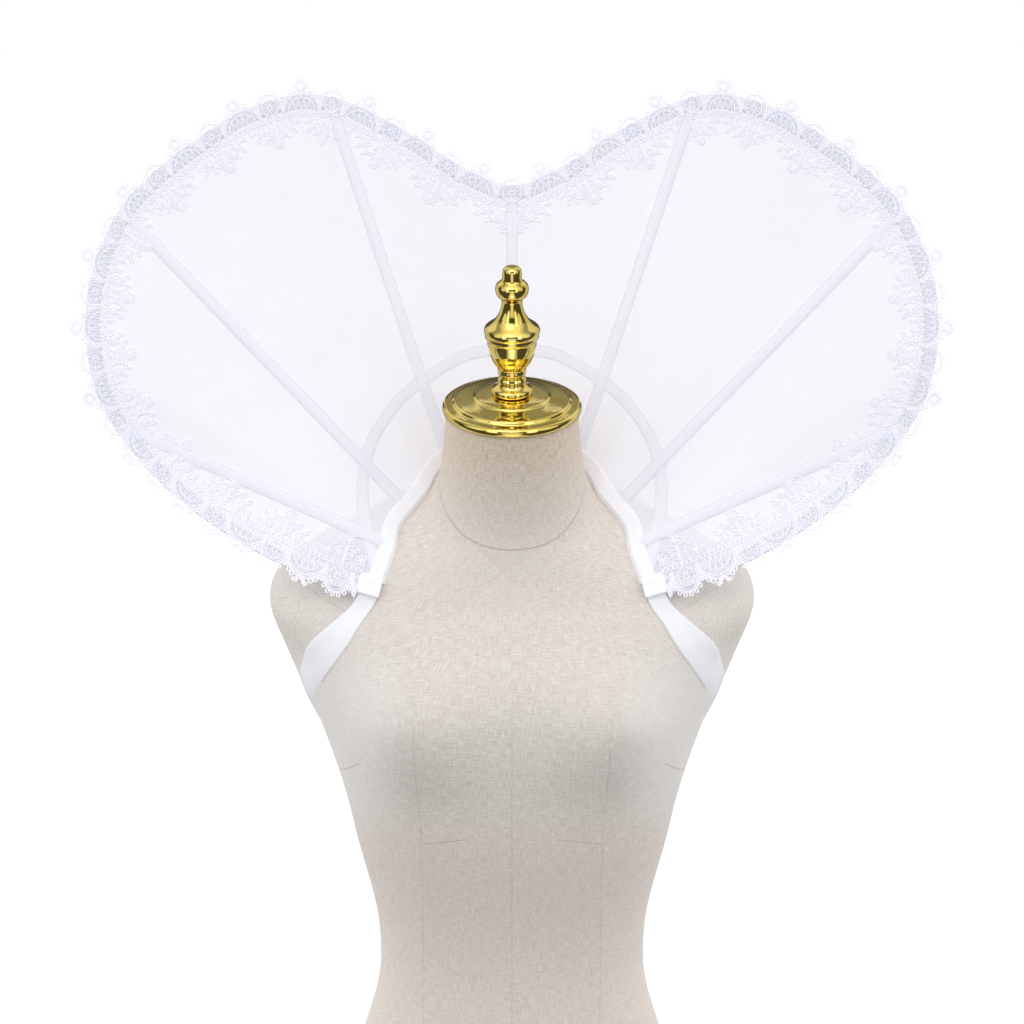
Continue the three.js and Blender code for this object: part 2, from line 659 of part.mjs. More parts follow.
// The strap's first row, just beyond the fan's front end.
function fanEndRow(out) {
  const last = COLUMNS.length - 1;
  return Array.from({ length: STRAP_ACROSS + 1 }, (_, k) => {
    const share = k / STRAP_ACROSS;
    const own = onColumn(last, share, out);
    const beyond = own.clone().sub(onColumn(last - 1, share, out)).normalize();
    return moved(own, beyond, FAN_END_GAP);
  });
}

function addStraps() {
  const curve = new THREE.CatmullRomCurve3(
    STRAP.map(({ level, around, width }) => new THREE.Vector3(level, around, width)),
    false, 'centripetal');
  const read = (t) => curve.getPoint(t);
  const count = (STRAP.length - 1) * STRAP_STEPS;
  const layer = (out) => [
    fanEndRow(out),
    ...Array.from({ length: count - 1 }, (_, i) => strapRow(read, (i + 2) / count, STRAP_REST + out)),
  ];
  addPair('strap', wallSolid(layer(0), layer(STRAP_WALL)), COLOURS.satin, 0, 0.35);
}

// ---- the whole object ------------------------------------------------------------------

addForm();
addFan();
addBones();
addTapes();
addLace();
addStraps();

export default group;
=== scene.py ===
import math

import bmesh
import bpy
from mathutils import Matrix, Vector
from mathutils.bvhtree import BVHTree


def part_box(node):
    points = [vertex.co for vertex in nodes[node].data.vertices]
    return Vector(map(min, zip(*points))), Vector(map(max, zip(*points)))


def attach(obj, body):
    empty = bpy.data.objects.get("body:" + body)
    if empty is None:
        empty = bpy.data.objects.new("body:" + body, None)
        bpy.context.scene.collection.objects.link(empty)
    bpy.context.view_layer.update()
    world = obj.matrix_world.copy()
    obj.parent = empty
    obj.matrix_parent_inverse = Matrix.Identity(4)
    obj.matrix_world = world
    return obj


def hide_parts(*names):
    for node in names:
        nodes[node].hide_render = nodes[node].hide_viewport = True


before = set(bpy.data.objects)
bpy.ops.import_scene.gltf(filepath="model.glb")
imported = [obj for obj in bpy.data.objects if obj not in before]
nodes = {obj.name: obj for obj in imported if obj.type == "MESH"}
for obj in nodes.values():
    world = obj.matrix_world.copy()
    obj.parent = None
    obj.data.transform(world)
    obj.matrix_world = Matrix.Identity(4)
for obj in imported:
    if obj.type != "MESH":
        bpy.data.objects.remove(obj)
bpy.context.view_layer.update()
scene = bpy.context.scene
MM = 0.001

# ---- Camera ----------------------------------------------------------------------------
# A long lens in front of the form, a little above its shoulders and looking slightly down
# on them.

CAMERA_FAR = 2.5
CAMERA_AIM = 0.637
CAMERA_RISE = math.radians(10)

camera_data = bpy.data.cameras.new("camera")
camera_data.sensor_width = 36
camera_data.lens = 101.02
camera_data.clip_end = 200
camera = bpy.data.objects.new("camera", camera_data)
camera.location = (
    0,
    -CAMERA_FAR * math.cos(CAMERA_RISE),
    CAMERA_AIM + CAMERA_FAR * math.sin(CAMERA_RISE),
)
camera.rotation_euler = (math.pi / 2 - CAMERA_RISE, 0, 0)
scene.collection.objects.link(camera)
scene.camera = camera

# ---- Torso -----------------------------------------------------------------------------
# The form's body is a padded shell covered with slubby oatmeal linen, cut in panels and
# sewn together down the front, the princess lines, the shoulders and round the neck.


class Wire:
    """A socket of a material's nodes. Arithmetic on it adds Math nodes, and node() adds any other."""

    def __init__(self, socket):
        self.socket = socket

    def node(self, kind, settings=(), sockets=(), output=0):
        made = self.socket.id_data.nodes.new("ShaderNode" + kind)
        for name, value in dict(settings).items():
            if name == "stops":
                elements = made.color_ramp.elements
                while len(elements) > 1:
                    elements.remove(elements[1])
                elements[0].position, elements[0].color = value[0]
                for position, colour in value[1:]:
                    elements.new(position).color = colour
            else:
                setattr(made, name, value)
        for name, value in dict(sockets).items():
            if isinstance(value, Wire):
                self.socket.id_data.links.new(value.socket, made.inputs[name])
            else:
                made.inputs[name].default_value = value
        return Wire(made.outputs[output]) if made.outputs else None

    def maths(self, operation, *values):
        return self.node("Math", {"operation": operation}, dict(enumerate(values)))

    def __add__(self, other):
        return self.maths("ADD", self, other)

    __radd__ = __add__

    def __sub__(self, other):
        return self.maths("SUBTRACT", self, other)

    def __rsub__(self, other):
        return self.maths("SUBTRACT", other, self)

    def __mul__(self, other):
        return self.maths("MULTIPLY", self, other)

    __rmul__ = __mul__

    def __truediv__(self, other):
        return self.maths("DIVIDE", self, other)

    def __abs__(self):
        return self.maths("ABSOLUTE", self)

    def noise(self, scale=(1, 1, 1), detail=2.0, rough=0.5):
        """Noise that is stretched by one number along each axis of this vector."""
        spread = self.node("Mapping", {}, {"Vector": self, "Scale": scale})
        sockets = {"Vector": spread, "Scale": 1.0, "Detail": detail, "Roughness": rough}
        return spread.node("TexNoise", {}, sockets)

    def ramp(self, low, high, first=0.0, last=1.0):
        """A smooth step from one value to another as this one goes from low to high."""
        return self.node(
            "MapRange",
            {"interpolation_type": "SMOOTHSTEP"},
            {0: self, 1: low, 2: high, 3: first, 4: last},
        )

    def mix(self, colour, other):
        """One colour where this mask is 0 and the other where it is 1."""
        return self.node("Mix", {"data_type": "RGBA"}, {0: self, 6: colour, 7: other}, 2)

    def join(self, x, y, z=0.0):
        return self.node("CombineXYZ", {}, {0: x, 1: y, 2: z})

    def bump(self, height, distance, strength=1.0):
        return self.node("Bump", {}, {"Height": height, "Distance": distance, "Strength": strength})


def new_finish(name, coords="Object"):
    """A material, the wire of its coordinates, and that wire's three parts."""
    finish = bpy.data.materials.new(name)
    finish.use_nodes = True
    finish.node_tree.nodes.clear()
    place = Wire(finish.node_tree.nodes.new("ShaderNodeTexCoord").outputs[coords])
    parts = [place.node("SeparateXYZ", {}, {0: place}, i) for i in range(3)]
    return finish, place, parts


def close_finish(place, **sockets):
    """The surface shader and the material's output. A low line in a socket's name is a space."""
    named = {name.replace("_", " "): value for name, value in sockets.items()}
    surface = place.node("BsdfPrincipled", {}, named)
    place.node("OutputMaterial", {}, {"Surface": surface})


def new_piece(name, bm, finish, *replaced):
    """A finished mesh as an object that rides on the form, instead of the solids that it replaces."""
    mesh = bpy.data.meshes.new(name)
    bm.to_mesh(mesh)
    bm.free()
    mesh.shade_smooth()
    mesh.materials.append(finish)
    piece = bpy.data.objects.new(name, mesh)
    scene.collection.objects.link(piece)
    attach(piece, "root")
    if replaced:
        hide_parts(*replaced)
    return piece


def smoothed(piece, levels):
    rounding = piece.modifiers.new("rounding", "SUBSURF")
    rounding.levels = rounding.render_levels = levels
    return piece


LINEN = (0.80, 0.745, 0.695, 1)
LINEN_PALE = (0.92, 0.885, 0.84, 1)
LINEN_DARK = (0.61, 0.545, 0.485, 1)
# painted reflected light: the warm linen colours for the brass cap's glow on the top of the neck
LINEN_BRASS_BOUNCE = ((0.56, 0.43, 0.30, 1), (0.87, 0.755, 0.62, 1))
# painted shade: the darker linen colours for below the bust
LINEN_SHADED = ((0.68, 0.575, 0.505, 1), (0.85, 0.745, 0.68, 1))
# painted light: the pale linen for the lit sides of the bust
LINEN_LIT = (0.96, 0.955, 0.94, 1)
SEAM_SHADE = (0.50, 0.43, 0.37, 1)
GIRTH = 0.135          # metres of girth for each radian round the form
THREAD = 1500          # threads in a metre
PRINCESS = 0.077       # from the centre front to the princess seams
NECK_SEAM = 0.675      # level of the neck seam's plane at the form's middle
NECK_SLOPE = 1.15
BODICE_SEAM = 0.377    # level of the short seams under the bust, where they would meet
DART = 0.428           # level of the side darts
ARMHOLE = 0.565        # level of the armhole seams at the middle of their front
SEAM_ENDS = 0.01       # pushes a short seam's distance up past its two ends
BUST = [               # (from the middle, level, reach, rise) of the bust's points and hollows
    (0.099, 0.461, 0.020, 0.0034),
    (0.057, 0.404, 0.030, -0.0030),
    (0.106, 0.410, 0.022, -0.0020),
]

linen, place, (x, y, z) = new_finish("oatmeal_linen")
around = x.maths("ARCTAN2", x / 1.4, y * -1.0) * GIRTH
cloth = place.join(around, z)
weft = cloth.noise((110, THREAD, 1), 3.0, 0.6)
warp = cloth.noise((THREAD, 110, 1), 3.0, 0.6)
slub = cloth.noise((90, 900, 1), 1.0).ramp(0.62, 0.78)
slub_up = cloth.noise((900, 60, 1), 1.0).ramp(0.62, 0.78)
blotch = place.noise((11, 11, 11), 3.0)
on_arm = abs(x).ramp(0.115, 0.145) * z.ramp(0.47, 0.52)
plain = place.noise((1300, 1300, 1300), 2.0)
weave = (weft * 0.5 + warp * 0.5) * (1 - on_arm) + plain * on_arm
front = y.ramp(-0.03, -0.02, 1.0, 0.0)
bust_swing = abs(z - 0.47).ramp(0.0, 0.12, 0.006, 0.0)
princess_side = abs(x) - (bust_swing + PRINCESS)
princess = abs(princess_side)
neck_gap = abs(z - y * NECK_SLOPE - NECK_SEAM)
below_neck = (z - y * NECK_SLOPE - NECK_SEAM).ramp(-0.002, 0.002, 1.0, 0.0)
broken = cloth.noise((400, 400, 1), 1.0).ramp(0.30, 0.55, 0.35, 1.0)
under_bust = z - BODICE_SEAM + abs(x) * 0.177
bodice = abs(under_bust) + abs(abs(x) - 0.058).ramp(0.019, 0.022) * SEAM_ENDS
dart = abs(z - DART - (0.135 - abs(x)) * 0.90) + abs(abs(x) - 0.141).ramp(0.010, 0.013) * SEAM_ENDS
armhole = abs(z - ARMHOLE - (abs(x) - 0.151) * 0.484) + abs(x).ramp(0.134, 0.138, SEAM_ENDS, 0.0)
stitched = neck_gap.ramp(0.0003, 0.0010, 0.65, 0.0)
below_chest = z.ramp(0.44, 0.52, 1.0, 0.15)
both = abs(y).ramp(0.02, 0.03)
for gap, depth, shown in (
    (abs(x), 0.30, both),
    (princess, 0.32, both),
    (bodice, 0.42, front),
    (dart, 0.60, front),
):
    line = gap.ramp(0.0002, 0.0009, depth, 0.0) * shown * below_neck * below_chest
    stitched = stitched.maths("MAXIMUM", stitched, line)
armhole_line = armhole.ramp(0.0002, 0.0010, 0.30, 0.0) * y.ramp(-0.02, 0.0, 1.0, 0.0)
stitched = stitched.maths("MAXIMUM", stitched, armhole_line)
stitched = stitched * broken
puckers = place.noise((60, 60, 160), 2.0) * neck_gap.ramp(0.0, 0.012, 1.0, 0.0)
threads = weave.ramp(0.36, 0.64)
tone = threads.mix(LINEN_DARK, LINEN_PALE)
tone = (blotch.ramp(0.3, 0.7) * 0.30 + 0.15).mix(tone, LINEN)
tone = (slub.maths("MAXIMUM", slub, slub_up) * 0.35).mix(tone, LINEN_PALE)
# Painted reflected light: the linen turns warmer and browner towards the top of the neck, for the glow of
# the brass cap.
tone = (z.ramp(0.60, 0.74) * (blotch * 0.5 + 0.75)).mix(tone, threads.mix(*LINEN_BRASS_BOUNCE))
between_seams = princess_side.ramp(-0.0006, 0.0006, 1.0, 0.0)
centre_panel = between_seams * under_bust.ramp(-0.001, 0.001, 1.0, 0.0) * front
# Painted shade: darker linen below the bust and over the centre panel under the bodice seam; the low
# sides of the hips are darkened as well.
at_hips = z.ramp(0.05, 0.18, 0.25, 0.0) * abs(x).ramp(0.06, 0.12)
painted_shade = z.ramp(0.32, 0.44, 0.4, 0.0) * (blotch * 0.6 + 0.7) + centre_panel * 0.17 + at_hips
tone = painted_shade.mix(tone, threads.mix(*LINEN_SHADED))
# Painted light: the linen beside the bust is paler, for the light from the bright surround falling on the
# form's sides.
lit_beside_bust = abs(x).ramp(0.080, 0.128) * abs(z - 0.45).ramp(0.02, 0.10, 0.5, 0.0)
tone = lit_beside_bust.mix(tone, LINEN_LIT)
tone = (stitched * 0.8).mix(tone, SEAM_SHADE)
relief = weave * 0.45 + slub * 0.5 + slub_up * 0.4 + puckers * 1.6 - stitched * 1.6
close_finish(
    place,
    Base_Color=tone,
    Roughness=weave * 0.15 + 0.75,
    Sheen_Weight=0.25,
    Sheen_Roughness=0.5,
    Normal=place.bump(relief, 0.0004),
)


def quads_of(bm):
    """Joins the loose triangles of a copied solid into its quads, but not those round a pole."""
    bmesh.ops.remove_doubles(bm, verts=bm.verts, dist=1e-6)
    poles = [v for v in bm.verts if len(v.link_edges) > 12]
    kept = set(f for v in poles for f in v.link_faces)
    bmesh.ops.join_triangles(
        bm,
        faces=[f for f in bm.faces if f not in kept],
        angle_face_threshold=math.pi,
        angle_shape_threshold=math.pi,
    )


bm = bmesh.new()
bm.from_mesh(nodes["form_torso"].data)
quads_of(bm)
bm.normal_update()
for v in bm.verts:
    for beside, level, reach, rise in BUST:
        near = math.hypot(abs(v.co.x) - beside, v.co.z - level) / reach
        v.co += v.normal * (rise * math.exp(-near * near) * (v.co.y < 0))
crease = bm.edges.layers.float.new("crease_edge")
for edge in bm.edges:
    if edge.calc_face_angle(0) > math.radians(60):
        edge[crease] = 1.0
torso = smoothed(new_piece("torso_linen", bm, linen, "form_torso"), 2)

# ---- Neck cap and finial ---------------------------------------------------------------
# Turned brass, polished and lacquered. The cap is a stepped disc that closes the neck, and
# the finial is an urn on a stack of small rings, with a ball, a collar and a domed tip.

NECK_TOP = Vector((0, -0.020, 0.729))
NECK_TILT = math.radians(16)
TURNED_STEPS = 64
CAP_PROFILE = [          # (radius, height over the neck) in millimetres
    (0, 0.3), (30, 0.3), (56.5, 0.3), (58.8, 0.8), (59.8, 2.2), (60, 4), (59.7, 5.6), (58.6, 7),
    (56.5, 7.9), (53.4, 8.1), (51.4, 8.5), (50.7, 9.5), (50.2, 10.5), (49, 11.2), (46.5, 11.7),
    (40, 12.4), (34, 13), (32.8, 13.4), (32.3, 14.2), (31, 14.9), (28.5, 15.4), (20, 16),
    (10, 16.1), (0, 16.1),
]
FINIAL_PROFILE = [
    (0, 16.3), (8, 16.3), (15.6, 16.3), (17, 16.9), (17.8, 18.2), (17.9, 20.2), (17.2, 21.8),
    (15.4, 22.9), (13.6, 23.8), (12.3, 25), (11.6, 26.2), (11.8, 27.4), (12.4, 28.6),
    (12.3, 29.9), (11.4, 31), (10.8, 32), (10.8, 33.2), (11.6, 34.4), (12.4, 35.6), (12.5, 37.2),
    (11.9, 38.6), (11.8, 39.8), (12.8, 41.4), (14.8, 43.8), (16.4, 46.6), (17.7, 49.8),
    (18.9, 52.8), (19.8, 55.7), (20.4, 58.6), (20.9, 61.4), (21.3, 64), (21.5, 66.2),
    (22.5, 67.1), (23, 68.4), (22.8, 69.8), (22.5, 70.6), (23.2, 71.6), (23.8, 73), (23.9, 74.8),
    (23.3, 76.6), (22, 78.2), (19.4, 79.9), (16.6, 81.8), (14.2, 84.4), (12.5, 87), (11, 89.9),
    (10, 92.8), (9.2, 95.8), (8.8, 98.6), (8.7, 101.2), (9.4, 102.8), (11.3, 104.4), (13, 106.4),
    (13.9, 109), (14.3, 111.6), (14, 114.2), (13.1, 116.2), (11.4, 117.8), (9.6, 118.8),
    (8.6, 119.8), (8.3, 121.2), (8.3, 124), (8.2, 127.6), (7.5, 129.8), (5.6, 131.5),
    (2.8, 132.5), (0, 132.7),
]

gold, place, (x, y, z) = new_finish("polished_brass")
clouds = place.noise((60, 60, 60), 3.0)
rubs = place.noise((380, 380, 900), 2.0)
close_finish(
    place,
    Base_Color=clouds.ramp(0.3, 0.7).mix((0.80, 0.60, 0.13, 1), (0.90, 0.73, 0.24, 1)),
    Metallic=1.0,
    Roughness=clouds.ramp(0.45, 0.75) * 0.05 + rubs * 0.04 + 0.03,
    Normal=place.bump(rubs, 0.00004),
)


def turned(name, profile, replaced):
    """A profile spun round the neck's leaning axis."""
    bm = bmesh.new()
    chain = [bm.verts.new((radius * MM, 0, height * MM)) for radius, height in profile]
    edges = [bm.edges.new(pair) for pair in zip(chain, chain[1:])]
    bmesh.ops.spin(
        bm,
        geom=chain + edges,
        cent=(0, 0, 0),
        axis=(0, 0, 1),
        angle=2 * math.pi,
        steps=TURNED_STEPS,
        use_merge=True,
    )
    bmesh.ops.remove_doubles(bm, verts=bm.verts, dist=1e-6)
    bmesh.ops.rotate(bm, verts=bm.verts, cent=(0, 0, 0), matrix=Matrix.Rotation(NECK_TILT, 3, "X"))
    bmesh.ops.translate(bm, verts=bm.verts, vec=NECK_TOP)
    bmesh.ops.recalc_face_normals(bm, faces=bm.faces)
    smoothed(new_piece(name, bm, gold, replaced), 1)


turned("neck_cap", CAP_PROFILE, "form_neck_cap")
turned("finial", FINIAL_PROFILE, "form_finial")

# ---- Fan -------------------------------------------------------------------------------
# The collar's fan is one layer of stiff silk organza a side, joined at the centre back. It
# runs straight from the neckline out to the heart-shaped edge, so it is ruled between them.

FAN_ACROSS = 150
FAN_UP = 40
FAN_CLOTH = 0.0005
CORNER = math.radians(42)
GROUND_ACROSS = 240
GROUND_UP = 48
GROUND_BEYOND = 0.022   # how far the surface is continued for what lies over its edge
PAINTED_GLOW = (0.86, 0.86, 1.0, 1)   # painted light: a faint bluish glow that lifts the shade on the white cloths


def cloth_layer(node, is_shown):
    """The shown side of a thin solid, as a grid of quads."""
    bm = bmesh.new()
    bm.from_mesh(nodes[node].data)
    bmesh.ops.remove_doubles(bm, verts=bm.verts, dist=1e-6)
    folds = [e for e in bm.edges if e.calc_face_angle(0) > math.radians(60)]
    bmesh.ops.split_edges(bm, edges=folds)
    left = set(bm.faces)
    layers = []
    while left:
        found = [left.pop()]
        for face in found:
            for edge in face.edges:
                for other in edge.link_faces:
                    if other in left:
                        left.remove(other)
                        found.append(other)
        layers.append(found)
    layers.sort(key=len)
    shown = set(next(faces for faces in layers[-2:] if is_shown(faces)))
    bmesh.ops.delete(bm, geom=[f for f in bm.faces if f not in shown], context="FACES")
    quads_of(bm)
    return bm


def border_runs(bm):
    """The border of a grid of quads as its four runs of points, the longest first."""
    start = next(v for v in bm.verts if v.is_boundary)
    border = [start]
    last = None
    while True:
        here = border[-1]
        ends = [e.other_vert(here) for e in here.link_edges if e.is_boundary]
        ahead = next(v for v in ends if v is not last)
        last = here
        if ahead is start:
            break
        border.append(ahead)
    places = [v.co.copy() for v in border]
    count = len(places)
    corners = [i for i in range(count) if (places[i] - places[i - 1]).angle(
        places[(i + 1) % count] - places[i]) > CORNER]
    runs = []
    for a, b in zip(corners, corners[1:] + [corners[0] + count]):
        runs.append([places[i % count] for i in range(a, b + 1)])
    first = max(range(4), key=lambda i: sum((q - p).length for p, q in zip(runs[i], runs[i][1:])))
    return runs[first:] + runs[:first]


def curve_at(points, place):
    """A smooth curve through points, read by a point's number; it goes on straight past the last."""
    i = min(max(int(place), 0), len(points) - 2)
    t = place - i
    if place > len(points) - 1:
        return points[-1] + (points[-1] - points[-2]) * (t - 1)
    before = points[i - 1] if i else Vector((-points[1].x, *points[1][1:]))
    after = points[i + 2] if i + 2 < len(points) else 2 * points[-1] - points[-2]
    here, ahead = points[i], points[i + 1]
    bend = 2 * before - 5 * here + 4 * ahead - after
    swing = 3 * here - before - 3 * ahead + after
    return (2 * here + (ahead - before) * t + bend * t ** 2 + swing * t ** 3) / 2


bm = cloth_layer("fan_right", lambda faces: sum(f.normal.y for f in faces) < 0)
edge_run, _, neck_run, _ = border_runs(bm)
bm.free()
if abs(edge_run[0].x) > abs(edge_run[-1].x):
    edge_run.reverse()
if abs(neck_run[0].x) > abs(neck_run[-1].x):
    neck_run.reverse()
for run in (edge_run, neck_run):
    run[0].x = 0
for _ in range(3):
    neck_run[1:-1] = [(p + 2 * q + r) / 4 for p, q, r in zip(neck_run, neck_run[1:], neck_run[2:])]
LAST_COLUMN = len(edge_run) - 1


def ruled(column, share, beyond=0.0):
    """The fan's front at a column's number and a share of its length, and then beyond in metres."""
    low, high = curve_at(neck_run, column), curve_at(edge_run, column)
    return low.lerp(high, share) + (high - low).normalized() * beyond


def fan_grid(columns, ups, reach, beyond):
    bm = bmesh.new()
    bmesh.ops.create_grid(bm, x_segments=columns, y_segments=ups, size=1)
    for v in bm.verts:
        column = (v.co.x + 1) / 2 * reach
        share = (v.co.y + 1) / 2
        v.co = ruled(column, share, max(share - 0.9, 0) * 10 * beyond)
    return bm


bm = fan_grid(GROUND_ACROSS, GROUND_UP, LAST_COLUMN + 1.2, GROUND_BEYOND)
bmesh.ops.recalc_face_normals(bm, faces=bm.faces)
ground = BVHTree.FromBMesh(bm)
bm.free()


def on_fan(spot, height):
    """The point over the fan at a place in the front view, or None where there is no fan."""
    side = 1 if spot.x > 0 else -1
    hit, normal, _, _ = ground.ray_cast(Vector((-abs(spot.x), -1, spot.y)), Vector((0, 1, 0)))
    if hit is None:
        return None
    if normal.y > 0:
        normal = -normal
    point = hit + normal * height
    return Vector((-side * point.x, point.y, point.z))


organza, place, (x, y, z) = new_finish("white_organza")
grain = place.noise((1400, 1400, 60), 2.0)
cross_grain = place.noise((60, 60, 1400), 2.0)
drape = place.noise((14, 14, 14), 3.0)
close_finish(
    place,
    Base_Color=drape.ramp(0.3, 0.7).mix((0.90, 0.895, 0.945, 1), (0.92, 0.915, 0.965, 1)),
    Roughness=grain * 0.2 + 0.4,
    Alpha=drape * 0.05 + grain * 0.04 + 0.62,
    Sheen_Weight=0.4,
    Sheen_Roughness=0.3,
    # Painted light: the organza glows a little, to lift its shade near the neck and cap.
    Emission_Color=PAINTED_GLOW,
    Emission_Strength=0.075,
    Normal=place.bump(grain * 0.4 + cross_grain * 0.2 + drape * 4.0, 0.0003),
)

bm = fan_grid(FAN_ACROSS, FAN_UP, LAST_COLUMN, 0)
bmesh.ops.mirror(bm, geom=bm.verts[:] + bm.edges[:] + bm.faces[:], axis="X", merge_dist=1e-5)
bmesh.ops.remove_doubles(bm, verts=bm.verts, dist=1e-5)
bmesh.ops.recalc_face_normals(bm, faces=bm.faces)
if sum(f.normal.y for f in bm.faces) > 0:
    bmesh.ops.reverse_faces(bm, faces=bm.faces)
fan = new_piece("fan_organza", bm, organza, "fan_right", "fan_left")
wall = fan.modifiers.new("cloth", "SOLIDIFY")
wall.thickness = FAN_CLOTH
wall.offset = -1
fan.visible_glossy = False      # the brass mirrors the room and not the fan

# ---- Inner arc tape --------------------------------------------------------------------
# A narrow woven tape laid round the neck a hand's width up the fan, stitched down along both
# of its edges before the bones go over it.

ARC = [
    (0, 769), (-38, 766), (-73, 749), (-98, 731), (-116, 709), (-126, 687), (-130, 666),
    (-129, 643), (-122, 613), (-116, 596),
]
ARC_WIDTH = 0.011
STITCH = 0.0024         # from one stitch of a tape to the next
STITCH_LINE = 0.0042    # from a tape's middle to its two lines of stitches
OFF_FAN = Vector((9, 9, 9))     # where a tape's points wait that have no fan below them


class FrontLine:
    """A line in the front view, read by the distance along it."""

    def __init__(self, points):
        self.points = points
        self.lengths = [0.0]
        for p, q in zip(points, points[1:]):
            self.lengths.append(self.lengths[-1] + (q - p).length)
        self.length = self.lengths[-1]

    def at(self, distance):
        d = min(max(distance, 0.0), self.length)
        low, high = 0, len(self.lengths) - 1
        while high - low > 1:
            middle = (low + high) // 2
            low, high = (middle, high) if self.lengths[middle] <= d else (low, middle)
        share = (d - self.lengths[low]) / (self.lengths[high] - self.lengths[low])
        return self.points[low].lerp(self.points[high], share)

    def left(self, distance):
        along = (self.at(distance + 0.002) - self.at(distance - 0.002)).normalized()
        return Vector((-along.y, along.x))

    def away(self, spot):
        return min((p - spot).length for p in self.points)


def smooth_line(points, steps=12):
    flat = [Vector((p.x, 0, p.y)) for p in points]
    read = [curve_at(flat, i / steps) for i in range((len(flat) - 1) * steps + 1)]
    return FrontLine([Vector((p.x, p.z)) for p in read])


arc_line = smooth_line([Vector((x * MM, z * MM)) for x, z in ARC])

TAPE_DARK = (0.77, 0.775, 0.845, 1)
TAPE_PALE = (0.82, 0.825, 0.895, 1)
TAPE_THREAD = (0.93, 0.93, 0.96, 1)


def woven_tape(name, painted_glow):
    """Ribbed cotton tape with a row of machine stitches along each edge."""
    tape, place, (u, v, _) = new_finish(name, "UV")
    ribs = place.noise((500, 2600, 1), 2.0)
    twill = place.noise((1500, 500, 1), 1.0)
    dash = (u / STITCH).maths("FRACT", u / STITCH)
    row = abs(abs(v) - STITCH_LINE).ramp(0.00012, 0.0003, 1.0, 0.0)
    stitch = abs(dash - 0.5).ramp(0.28, 0.36, 1.0, 0.0) * row
    grain = (ribs * 0.5 + twill * 0.3).ramp(0.25, 0.6)
    close_finish(
        place,
        Base_Color=stitch.mix(grain.mix(TAPE_DARK, TAPE_PALE), TAPE_THREAD),
        Roughness=ribs * 0.2 + 0.5,
        Sheen_Weight=0.2,
        # Painted light: the tape glows a little, to lift its shade.
        Emission_Color=PAINTED_GLOW,
        Emission_Strength=painted_glow,
        Normal=place.bump(ribs * 0.5 + twill * 0.3 + stitch * 2.0, 0.00012),
    )
    return tape


tape_white = woven_tape("woven_tape", 0.14)


def new_tape(name, length, width, place_at, profile, replaced, long_step=0.003, finish=None):
    """A strip of tape. place_at(distance, offset, height) lays a point, and profile is its section."""
    bm = bmesh.new()
    cloth_map = bm.loops.layers.uv.new("cloth")
    count = max(2, round(length / long_step))
    bmesh.ops.create_grid(bm, x_segments=count, y_segments=len(profile) - 1, size=1)
    flat = {}
    for vert in bm.verts:
        distance = (vert.co.x + 1) / 2 * length
        share, height = profile[round((vert.co.y + 1) / 2 * (len(profile) - 1))]
        flat[vert] = (distance, share * width / 2)
        laid = place_at(distance, share * width / 2, height)
        vert.co = OFF_FAN if laid is None else laid
    for face in bm.faces:
        for loop in face.loops:
            loop[cloth_map].uv = flat[loop.vert]
    bmesh.ops.delete(bm, geom=[vert for vert in bm.verts if vert.co == OFF_FAN], context="VERTS")
    bmesh.ops.recalc_face_normals(bm, faces=bm.faces)
    if sum(f.normal.y for f in bm.faces) > 0:
        bmesh.ops.reverse_faces(bm, faces=bm.faces)
    return new_piece(name, bm, finish or tape_white, *replaced)


FLAT_TAPE = [
    (-1, 0.00005), (-1, 0.0002), (-0.93, 0.0004), (-0.75, 0.0003), (-0.4, 0.0004), (0, 0.00045),
    (0.4, 0.0004), (0.75, 0.0003), (0.93, 0.0004), (1, 0.0002), (1, 0.00005),
]


def along_line(line, mirrored):
    def lay(distance, offset, height):
        spot = line.at(distance) + line.left(distance) * offset
        if mirrored:
            spot = Vector((-spot.x, spot.y))
        return on_fan(spot, height)

    return lay


for side in ("right", "left"):
    tape = new_tape(
        "arc_tape_" + side + "_cloth",
        arc_line.length,
        ARC_WIDTH,
        along_line(arc_line, side == "left"),
        FLAT_TAPE,
        ["arc_tape_" + side],
    )

# ---- Bones -----------------------------------------------------------------------------
# Seven bones spread from the neckband to the edge. Each is a flat steel in a stitched tape
# channel, over the arc tape where they cross.

BONE_WIDTH = 0.010
NECKBAND_WIDTH = 0.013
UNDER_BAND = NECKBAND_WIDTH * 0.6   # from the fan's two edges to a bone's two ends
UNDER_LACE = 0.010
BONE_SECTION = [
    (-1, 0.00005), (-1, 0.0003), (-0.92, 0.0005), (-0.8, 0.0004), (-0.62, 0.0009),
    (-0.3, 0.0011), (0.3, 0.0011), (0.62, 0.0009), (0.8, 0.0004), (0.92, 0.0005), (1, 0.0003),
    (1, 0.00005),
]
OVER_ARC = 0.0006       # a bone's rise where it crosses the arc tape
edge_line = FrontLine([
    Vector((p.x, p.z)) for p in (curve_at(edge_run, i / 12) for i in range(LAST_COLUMN * 12 + 1))
])


def column_near(node):
    """The fan column that a bone's solid lies along."""
    if node == "bone_centre":
        return 0.0
    low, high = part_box(node)
    gaps = []
    for i in range(LAST_COLUMN * 20 + 1):
        edge = curve_at(edge_run, i / 20)
        gaps.append(math.hypot(edge.x - low.x, edge.z - high.z))
    return gaps.index(min(gaps)) / 20


